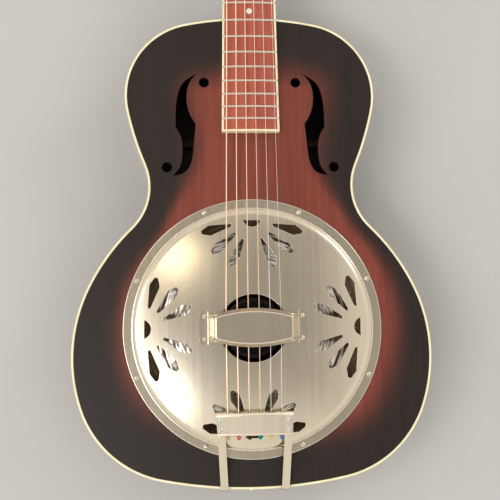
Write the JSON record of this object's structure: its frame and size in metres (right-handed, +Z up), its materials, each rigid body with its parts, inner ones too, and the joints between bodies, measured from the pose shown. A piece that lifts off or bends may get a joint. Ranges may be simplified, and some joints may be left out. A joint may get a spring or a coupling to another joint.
{
  "type": "resonator guitar",
  "caption": "Round-neck resonator guitar: spun metal cone under a perforated cover plate in a bound wooden body, geared tuners, lying on its back.",
  "frame": {"origin": "middle of the footprint on the surface that the guitar lies on, at the body's flat back", "axes": "+Z up out of the soundboard, +Y towards the headstock, +X towards the thin strings"},
  "size_m": [0.3684, 0.9832, 0.112],
  "materials": {
    "ball_brass": "lacquered",
    "binding": "satin",
    "black_maple": "stained black",
    "black_plastic": "gloss",
    "bone": "polished",
    "bronze_string": "wound bronze",
    "cone_aluminium": "spun",
    "fingerboard": "oiled",
    "fret_wire": "polished",
    "gear_brass": "machined",
    "inner_wood": "bare",
    "mahogany_body": "satin dark stain over mahogany",
    "maple": "bare",
    "neck_wood": "satin",
    "nickel": "brushed warm nickel",
    "nickel_screws": "polished nickel",
    "pearl": "polished",
    "plain_string": "polished",
    "soundboard": "satin sunburst over mahogany, near black at the rim",
    "steel": "plated",
    "tuner_metal": "nickel plated",
    "veneer": "satin"
  },
  "bodies": {
    "guitar": {"back_binding": "binding", "back_braces": "inner_wood", "ball_ends": "ball_brass", "bass_side": "mahogany_body", "biscuit": "black_maple", "biscuit_screw": "steel", "body_back": "mahogany_body", "body_top": "soundboard", "cone": "cone_aluminium", "cover_plate": "nickel", "cover_plate_screws": "nickel_screws", "fingerboard": "fingerboard", "fingerboard_binding": "binding", "frets": "fret_wire", "hand_rest": "nickel", "hand_rest_screws": "nickel_screws", "headstock_veneer": "veneer", "linings": "inner_wood", "neck": "neck_wood", "neck_block": "inner_wood", "neck_stick": "inner_wood", "nut": "bone", "plain_strings": "plain_string", "position_dots": "pearl", "saddle": "maple", "soundwell": "inner_wood", "strap_button": "nickel", "strap_button_screw": "steel", "tail_block": "inner_wood", "tailpiece_frame": "nickel", "tailpiece_plate": "nickel", "tailpiece_rivets": "nickel_screws", "top_binding": "binding", "top_braces": "inner_wood", "treble_side": "mahogany_body", "truss_rod": "steel", "truss_rod_cover": "black_plastic", "truss_rod_cover_screws": "steel", "tuner_bushings": "nickel", "tuner_plates": "nickel", "tuner_screws": "steel", "wound_strings": "bronze_string"},
    "tuner_post_1": {"tuner_post_1": "tuner_metal", "tuner_gear_1": "gear_brass"},
    "tuner_key_1": {"tuner_key_1": "tuner_metal"},
    "tuner_post_2": {"tuner_post_2": "tuner_metal", "tuner_gear_2": "gear_brass"},
    "tuner_key_2": {"tuner_key_2": "tuner_metal"},
    "tuner_post_3": {"tuner_post_3": "tuner_metal", "tuner_gear_3": "gear_brass"},
    "tuner_key_3": {"tuner_key_3": "tuner_metal"},
    "tuner_post_4": {"tuner_post_4": "tuner_metal", "tuner_gear_4": "gear_brass"},
    "tuner_key_4": {"tuner_key_4": "tuner_metal"},
    "tuner_post_5": {"tuner_post_5": "tuner_metal", "tuner_gear_5": "gear_brass"},
    "tuner_key_5": {"tuner_key_5": "tuner_metal"},
    "tuner_post_6": {"tuner_post_6": "tuner_metal", "tuner_gear_6": "gear_brass"},
    "tuner_key_6": {"tuner_key_6": "tuner_metal"}
  },
  "joints": [
    {"name": "tuner_post_1_turn", "type": "hinge", "parent": "guitar", "child": "tuner_post_1", "pos_m": [0.0255, 0.36243, 0.06914], "axis": [0, 0.2656, 0.9641], "continuous": true},
    {"name": "tuner_key_1_turn", "type": "hinge", "parent": "guitar", "child": "tuner_key_1", "pos_m": [0.0255, 0.35041, 0.05253], "axis": [1, 0, 0], "continuous": true},
    {"name": "tuner_post_2_turn", "type": "hinge", "parent": "guitar", "child": "tuner_post_2", "pos_m": [0.0255, 0.401, 0.05852], "axis": [0, 0.2656, 0.9641], "continuous": true},
    {"name": "tuner_key_2_turn", "type": "hinge", "parent": "guitar", "child": "tuner_key_2", "pos_m": [0.0255, 0.38898, 0.04191], "axis": [1, 0, 0], "continuous": true},
    {"name": "tuner_post_3_turn", "type": "hinge", "parent": "guitar", "child": "tuner_post_3", "pos_m": [0.0255, 0.43956, 0.04789], "axis": [0, 0.2656, 0.9641], "continuous": true},
    {"name": "tuner_key_3_turn", "type": "hinge", "parent": "guitar", "child": "tuner_key_3", "pos_m": [0.0255, 0.42754, 0.03129], "axis": [1, 0, 0], "continuous": true},
    {"name": "tuner_post_4_turn", "type": "hinge", "parent": "guitar", "child": "tuner_post_4", "pos_m": [-0.0255, 0.43956, 0.04789], "axis": [0, 0.2656, 0.9641], "continuous": true},
    {"name": "tuner_key_4_turn", "type": "hinge", "parent": "guitar", "child": "tuner_key_4", "pos_m": [-0.0255, 0.42754, 0.03129], "axis": [1, 0, 0], "continuous": true},
    {"name": "tuner_post_5_turn", "type": "hinge", "parent": "guitar", "child": "tuner_post_5", "pos_m": [-0.0255, 0.401, 0.05852], "axis": [0, 0.2656, 0.9641], "continuous": true},
    {"name": "tuner_key_5_turn", "type": "hinge", "parent": "guitar", "child": "tuner_key_5", "pos_m": [-0.0255, 0.38898, 0.04191], "axis": [1, 0, 0], "continuous": true},
    {"name": "tuner_post_6_turn", "type": "hinge", "parent": "guitar", "child": "tuner_post_6", "pos_m": [-0.0255, 0.36243, 0.06914], "axis": [0, 0.2656, 0.9641], "continuous": true},
    {"name": "tuner_key_6_turn", "type": "hinge", "parent": "guitar", "child": "tuner_key_6", "pos_m": [-0.0255, 0.35041, 0.05253], "axis": [1, 0, 0], "continuous": true}
  ],
  "couplings": [
    {"joint": "tuner_post_1_turn", "follows": "tuner_key_1_turn", "ratio": -0.071429},
    {"joint": "tuner_post_2_turn", "follows": "tuner_key_2_turn", "ratio": -0.071429},
    {"joint": "tuner_post_3_turn", "follows": "tuner_key_3_turn", "ratio": -0.071429},
    {"joint": "tuner_post_4_turn", "follows": "tuner_key_4_turn", "ratio": 0.071429},
    {"joint": "tuner_post_5_turn", "follows": "tuner_key_5_turn", "ratio": 0.071429},
    {"joint": "tuner_post_6_turn", "follows": "tuner_key_6_turn", "ratio": 0.071429}
  ]
}
